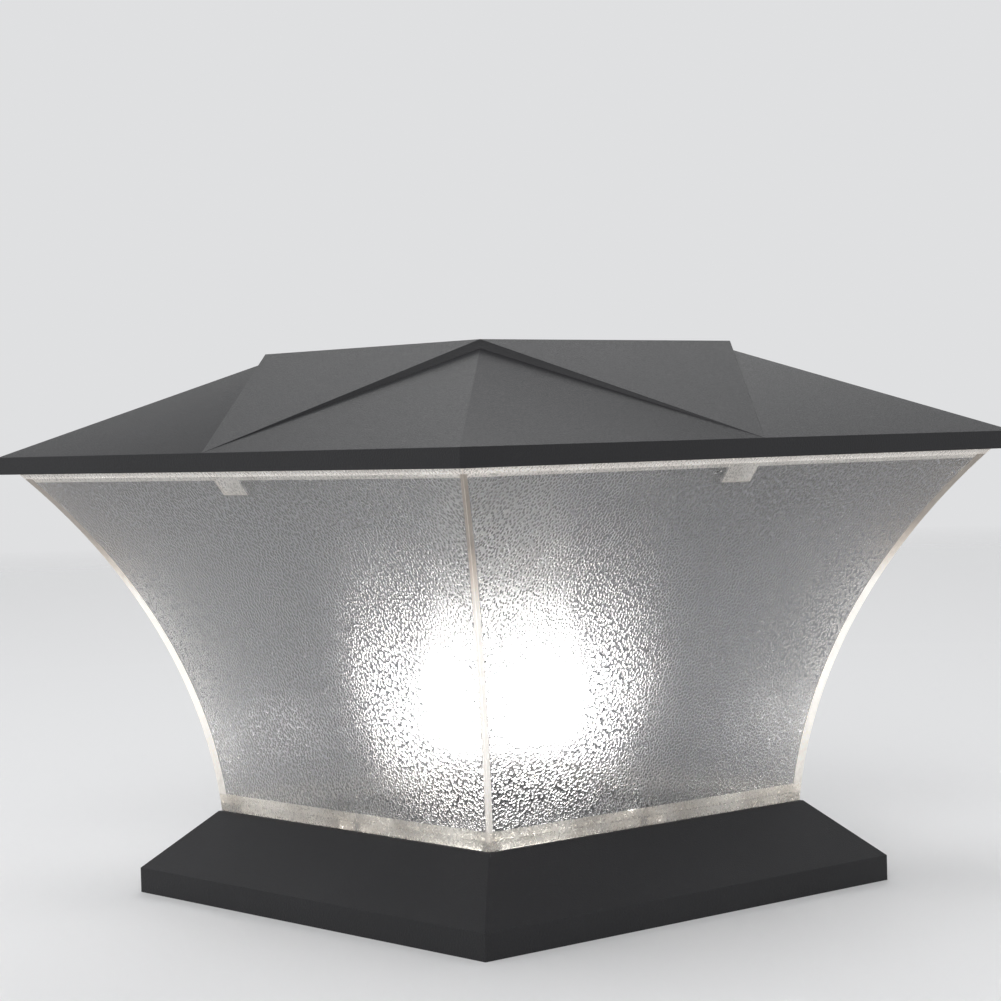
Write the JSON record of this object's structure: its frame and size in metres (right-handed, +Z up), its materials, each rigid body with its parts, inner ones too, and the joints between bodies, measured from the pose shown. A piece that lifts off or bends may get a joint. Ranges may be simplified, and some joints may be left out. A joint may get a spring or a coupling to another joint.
{
  "type": "solar post cap light",
  "caption": "Square solar light that caps a fence post: skirted base, clear pebbled lens flaring upwards, and a hipped roof with a solar panel and a raised star.",
  "frame": {"origin": "middle of the base's underside, on the surface that it stands on", "axes": "+Z up; X and Y square to the sides of the base, the lens and the roof; the battery lies along X on the -Y side"},
  "size_m": [0.2034, 0.2034, 0.1526],
  "materials": {
    "housing_black": "fine moulded texture, slight sheen",
    "tray_black": "moulded, smooth satin",
    "lens_clear": "clear plastic, pebbled outside, smooth at its edges",
    "foam_black": "closed-cell foam",
    "screw_steel": "zinc plated",
    "panel_back": "laminated board",
    "cell_blue": "silicon, dark blue",
    "tinned_ribbon": "tinned copper",
    "cover_clear": "clear cast resin",
    "cell_sleeve": "shrink sleeve, plain",
    "nickel_steel": "nickel plated",
    "board_green": "solder mask",
    "chip_black": "moulded epoxy",
    "capacitor_sleeve": "shrink sleeve, plain",
    "coil_copper": "enamelled copper wire",
    "block_ivory": "nylon",
    "switch_grey": "moulded",
    "knob_white": "moulded",
    "column_white": "moulded, satin",
    "diffuser_frosted": "frosted, lit from inside",
    "lamp_board_white": "white solder mask",
    "lamp_phosphor": "phosphor under clear resin",
    "wire_red": "smooth insulation",
    "wire_black": "smooth insulation"
  },
  "bodies": {
    "base": {"base_shell": "housing_black", "lens": "lens_clear", "foot_seal": "foam_black", "lens_screws": "screw_steel"},
    "roof": {"roof_shell": "housing_black", "roof_tray": "tray_black", "top_seal": "foam_black", "tray_screws": "screw_steel", "panel_backing": "panel_back", "panel_cells": "cell_blue", "panel_ribbons": "tinned_ribbon", "panel_cover": "cover_clear", "battery_holder": "tray_black", "battery_cell": "cell_sleeve", "battery_spring": "nickel_steel", "spring_plate": "nickel_steel", "button_plate": "nickel_steel", "control_board": "board_green", "driver_chip": "chip_black", "storage_capacitor": "capacitor_sleeve", "boost_coil": "coil_copper", "wire_block": "block_ivory", "board_screws": "screw_steel", "switch_body": "switch_grey", "light_column": "column_white", "column_screws": "screw_steel", "diffuser_tube": "diffuser_frosted", "lamp_board_east": "lamp_board_white", "lamp_board_north": "lamp_board_white", "lamp_board_west": "lamp_board_white", "lamp_board_south": "lamp_board_white", "lamps_east": "lamp_phosphor", "lamps_north": "lamp_phosphor", "lamps_west": "lamp_phosphor", "lamps_south": "lamp_phosphor", "panel_wires": "wire_red", "battery_wires": "wire_red", "lamp_wires": "wire_black"},
    "door": {"battery_door": "tray_black", "door_seal": "foam_black", "door_screws": "screw_steel"},
    "knob": {"switch_knob": "knob_white"}
  },
  "joints": [
    {"name": "roof_lift", "type": "slide", "parent": "base", "child": "roof", "axis": [0, 0, 1], "range_m": [0, 0.11]},
    {"name": "door_pull", "type": "slide", "parent": "roof", "child": "door", "axis": [0, 0, -1], "range_m": [0, 0.03]},
    {"name": "switch_slide", "type": "slide", "parent": "roof", "child": "knob", "axis": [1, 0, 0], "range_m": [0, 0.003]}
  ]
}
